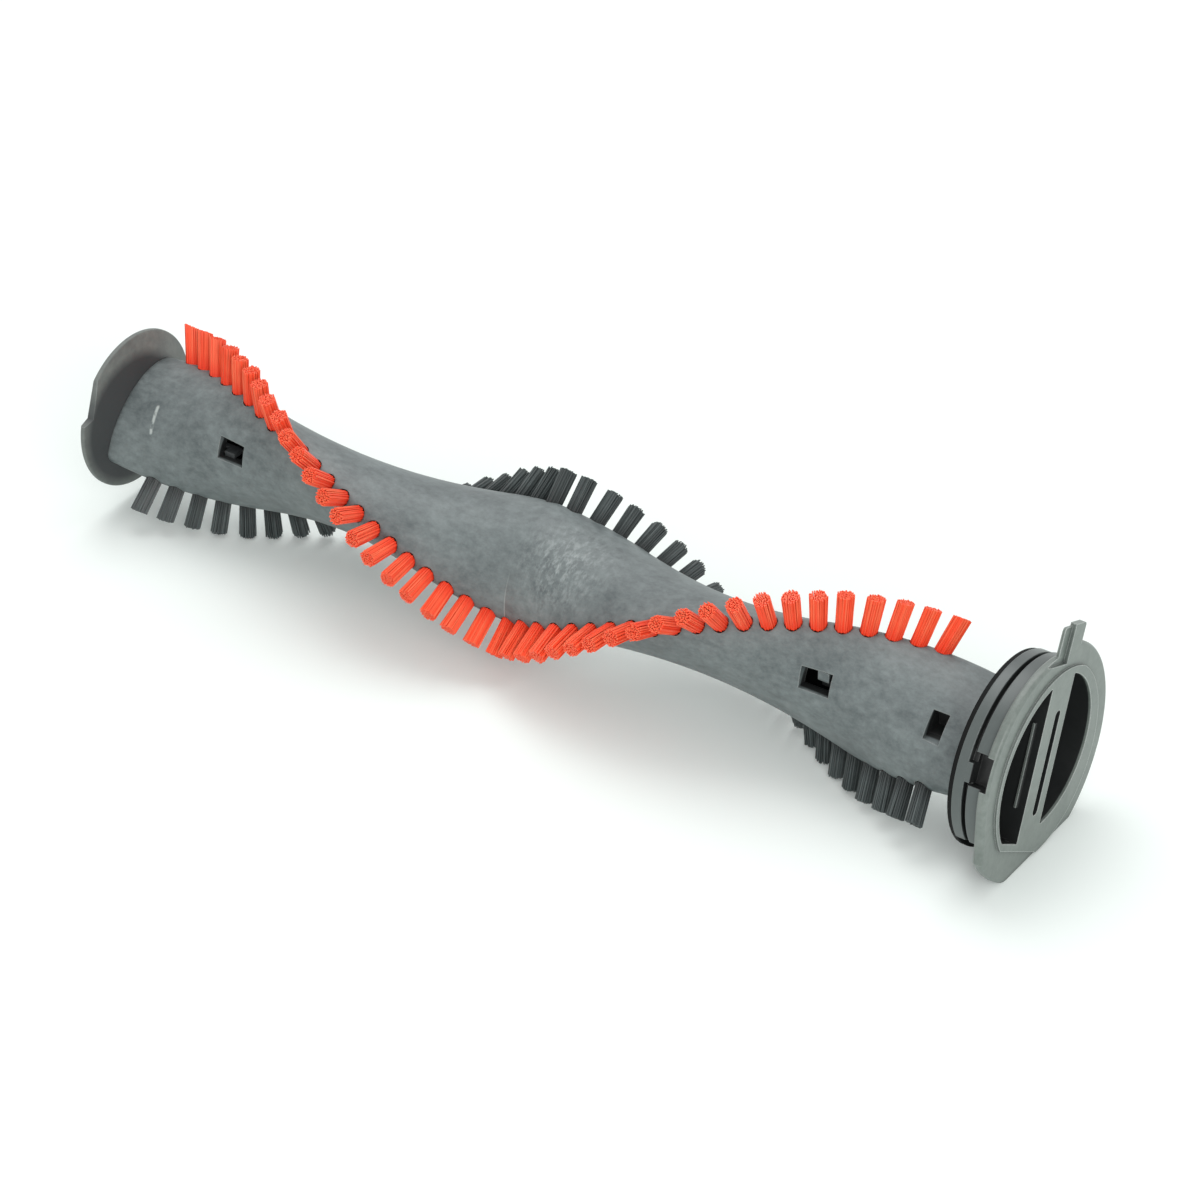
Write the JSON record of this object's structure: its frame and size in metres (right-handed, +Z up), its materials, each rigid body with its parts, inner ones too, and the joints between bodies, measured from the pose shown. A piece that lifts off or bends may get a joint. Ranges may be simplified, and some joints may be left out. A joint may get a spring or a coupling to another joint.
{
  "type": "roller brush",
  "caption": "Twisted roller brush with two chevron rows of bristle tufts, a lobed drive flange and a turning bayonet bearing cap with finger pockets.",
  "frame": {"origin": "on the resting surface, under the middle of the brush", "axes": "+X along the roller's axis from the drive flange to the bearing cap, +Y to the back, +Z up"},
  "size_m": [0.2672, 0.0555, 0.0564],
  "materials": {
    "roller_body": "satin mid-grey moulding",
    "bright_tufts": "orange-red bristles",
    "dark_tufts": "dark grey bristles",
    "drive_flange": "dark grey moulding",
    "bearing_plug": "light grey moulding",
    "steel": "plain steel",
    "bush": "sintered bronze",
    "dust_seal": "black rubber",
    "end_cap": "satin light-grey moulding"
  },
  "bodies": {
    "cap": {"end_cap": "end_cap", "dust_seal": "dust_seal", "bearing_bush": "bush"},
    "roller": {"roller_body": "roller_body", "bright_tufts": "bright_tufts", "dark_tufts": "dark_tufts", "drive_flange": "drive_flange", "bearing_plug": "bearing_plug", "axle_pin": "steel", "inner_washer": "steel", "outer_washer": "steel", "pin_clip": "steel"}
  },
  "joints": [
    {"name": "roller_spin", "type": "hinge", "parent": "cap", "child": "roller", "pos_m": [0.119, -0.00155, 0.0246], "axis": [1, 0, 0], "continuous": true}
  ]
}
